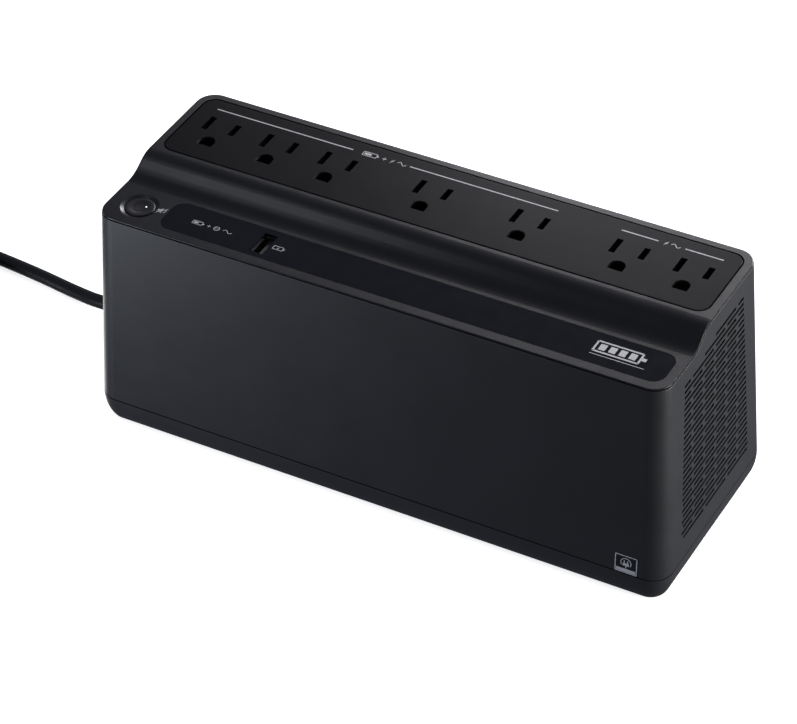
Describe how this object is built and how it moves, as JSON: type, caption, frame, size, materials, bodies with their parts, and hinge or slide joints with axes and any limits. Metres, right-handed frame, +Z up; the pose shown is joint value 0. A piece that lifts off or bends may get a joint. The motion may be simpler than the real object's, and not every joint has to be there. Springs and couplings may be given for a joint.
{
  "type": "uninterruptible power supply",
  "caption": "Low oblong backup power unit with a stepped top: three-pin outlets at the back, power button, glossy strip and USB socket in front, vents in the end, cord with plug.",
  "frame": {"origin": "middle of the housing's footprint, on the surface the feet stand on", "axes": "+X along the length towards the vented end, +Y towards the back where the outlets are, +Z up"},
  "size_m": [0.4696, 0.1689, 0.1145],
  "materials": {
    "case_plastic": "fine-grained charcoal moulding",
    "cover_plastic": "fine-grained charcoal moulding",
    "base_plastic": "fine-grained charcoal moulding",
    "panel_plastic": "fine-grained near-black moulding",
    "gloss_inlay": "polished blue-black film",
    "button_plastic": "satin black",
    "clear_guide": "frosted clear",
    "switch_plastic": "black",
    "switch_metal": "bright",
    "led_body": "clear lens on a white body",
    "plated_shell": "nickel plated",
    "usb_plastic": "black",
    "contact_brass": "bright",
    "circuit_board": "green solder mask",
    "chip_plastic": "black epoxy",
    "steel_screw": "zinc plated",
    "block_plastic": "green",
    "relay_plastic": "blue",
    "capacitor_sleeve": "dark sleeve",
    "varistor_coat": "blue coating",
    "ferrite": "enamelled wire over a ring",
    "heat_sink_aluminium": "plain extrusion",
    "fuse_plastic": "tinted",
    "carrier_plastic": "black",
    "core_steel": "stacked laminations",
    "winding_copper": "taped winding",
    "bobbin_plastic": "natural",
    "bracket_steel": "zinc plated",
    "battery_case": "dark grey",
    "connector_sleeve": "natural",
    "lead_red": "red insulation",
    "lead_black": "black insulation",
    "lead_white": "white insulation",
    "breaker_plastic": "black",
    "nut_plastic": "black",
    "reset_plastic": "black",
    "foot_rubber": "soft",
    "label_film": "white print on a black film",
    "cord_rubber": "satin black moulding",
    "cord_jacket": "glossy black jacket",
    "tie_plastic": "black",
    "plug_metal": "nickel plated brass"
  },
  "bodies": {
    "housing": {"wall_shell": "case_plastic", "top_cover": "cover_plastic", "base_tray": "base_plastic", "outlet_panel": "panel_plastic", "inlay_strip": "gloss_inlay", "tactile_switch": "switch_metal", "power_led": "led_body", "usb_shell": "plated_shell", "usb_insert": "usb_plastic", "usb_contacts": "contact_brass", "control_board": "circuit_board", "controller_chips": "chip_plastic", "main_board": "circuit_board", "board_screws": "steel_screw", "terminal_blocks": "block_plastic", "relays": "relay_plastic", "capacitors": "capacitor_sleeve", "surge_varistors": "varistor_coat", "filter_choke": "ferrite", "heat_sink": "heat_sink_aluminium", "power_transistors": "chip_plastic", "buzzer": "chip_plastic", "blade_fuse": "fuse_plastic", "outlet_carrier": "carrier_plastic", "line_bus_backup": "contact_brass", "line_bus_surge": "contact_brass", "neutral_bus": "contact_brass", "ground_bus": "contact_brass", "transformer_core": "core_steel", "transformer_winding": "winding_copper", "transformer_bobbin": "bobbin_plastic", "transformer_bracket": "bracket_steel", "transformer_screws": "steel_screw", "battery": "battery_case", "battery_tabs": "contact_brass", "battery_connectors": "connector_sleeve", "positive_lead": "lead_red", "negative_lead": "lead_black", "mains_leads": "lead_black", "inner_leads": "lead_white", "breaker_body": "breaker_plastic", "breaker_nut": "nut_plastic", "breaker_tabs": "contact_brass", "rubber_feet": "foot_rubber", "case_screws": "steel_screw", "front_label": "label_film", "strain_relief": "cord_rubber", "power_cord": "cord_jacket", "cord_coil": "cord_jacket", "cord_tail": "cord_jacket", "cord_tie": "tie_plastic", "plug_body": "cord_rubber", "plug_blades": "plug_metal", "plug_ground_pin": "plug_metal"},
    "power_button_body": {"power_button": "button_plastic", "button_light_guide": "clear_guide", "switch_actuator": "switch_plastic"},
    "reset_button_body": {"reset_button": "reset_plastic"},
    "battery_door_body": {"battery_door": "base_plastic"}
  },
  "joints": [
    {"name": "power_button_press", "type": "slide", "parent": "housing", "child": "power_button_body", "axis": [0, 0, -1], "range_m": [0, 0.0008], "stiffness_N_per_m": 1500, "springref_m": -0.0006},
    {"name": "breaker_reset_pop", "type": "slide", "parent": "housing", "child": "reset_button_body", "axis": [-1, 0, 0], "range_m": [0, 0.003]},
    {"name": "battery_door_slide", "type": "slide", "parent": "housing", "child": "battery_door_body", "axis": [-1, 0, 0], "range_m": [0, 0.0095]}
  ]
}
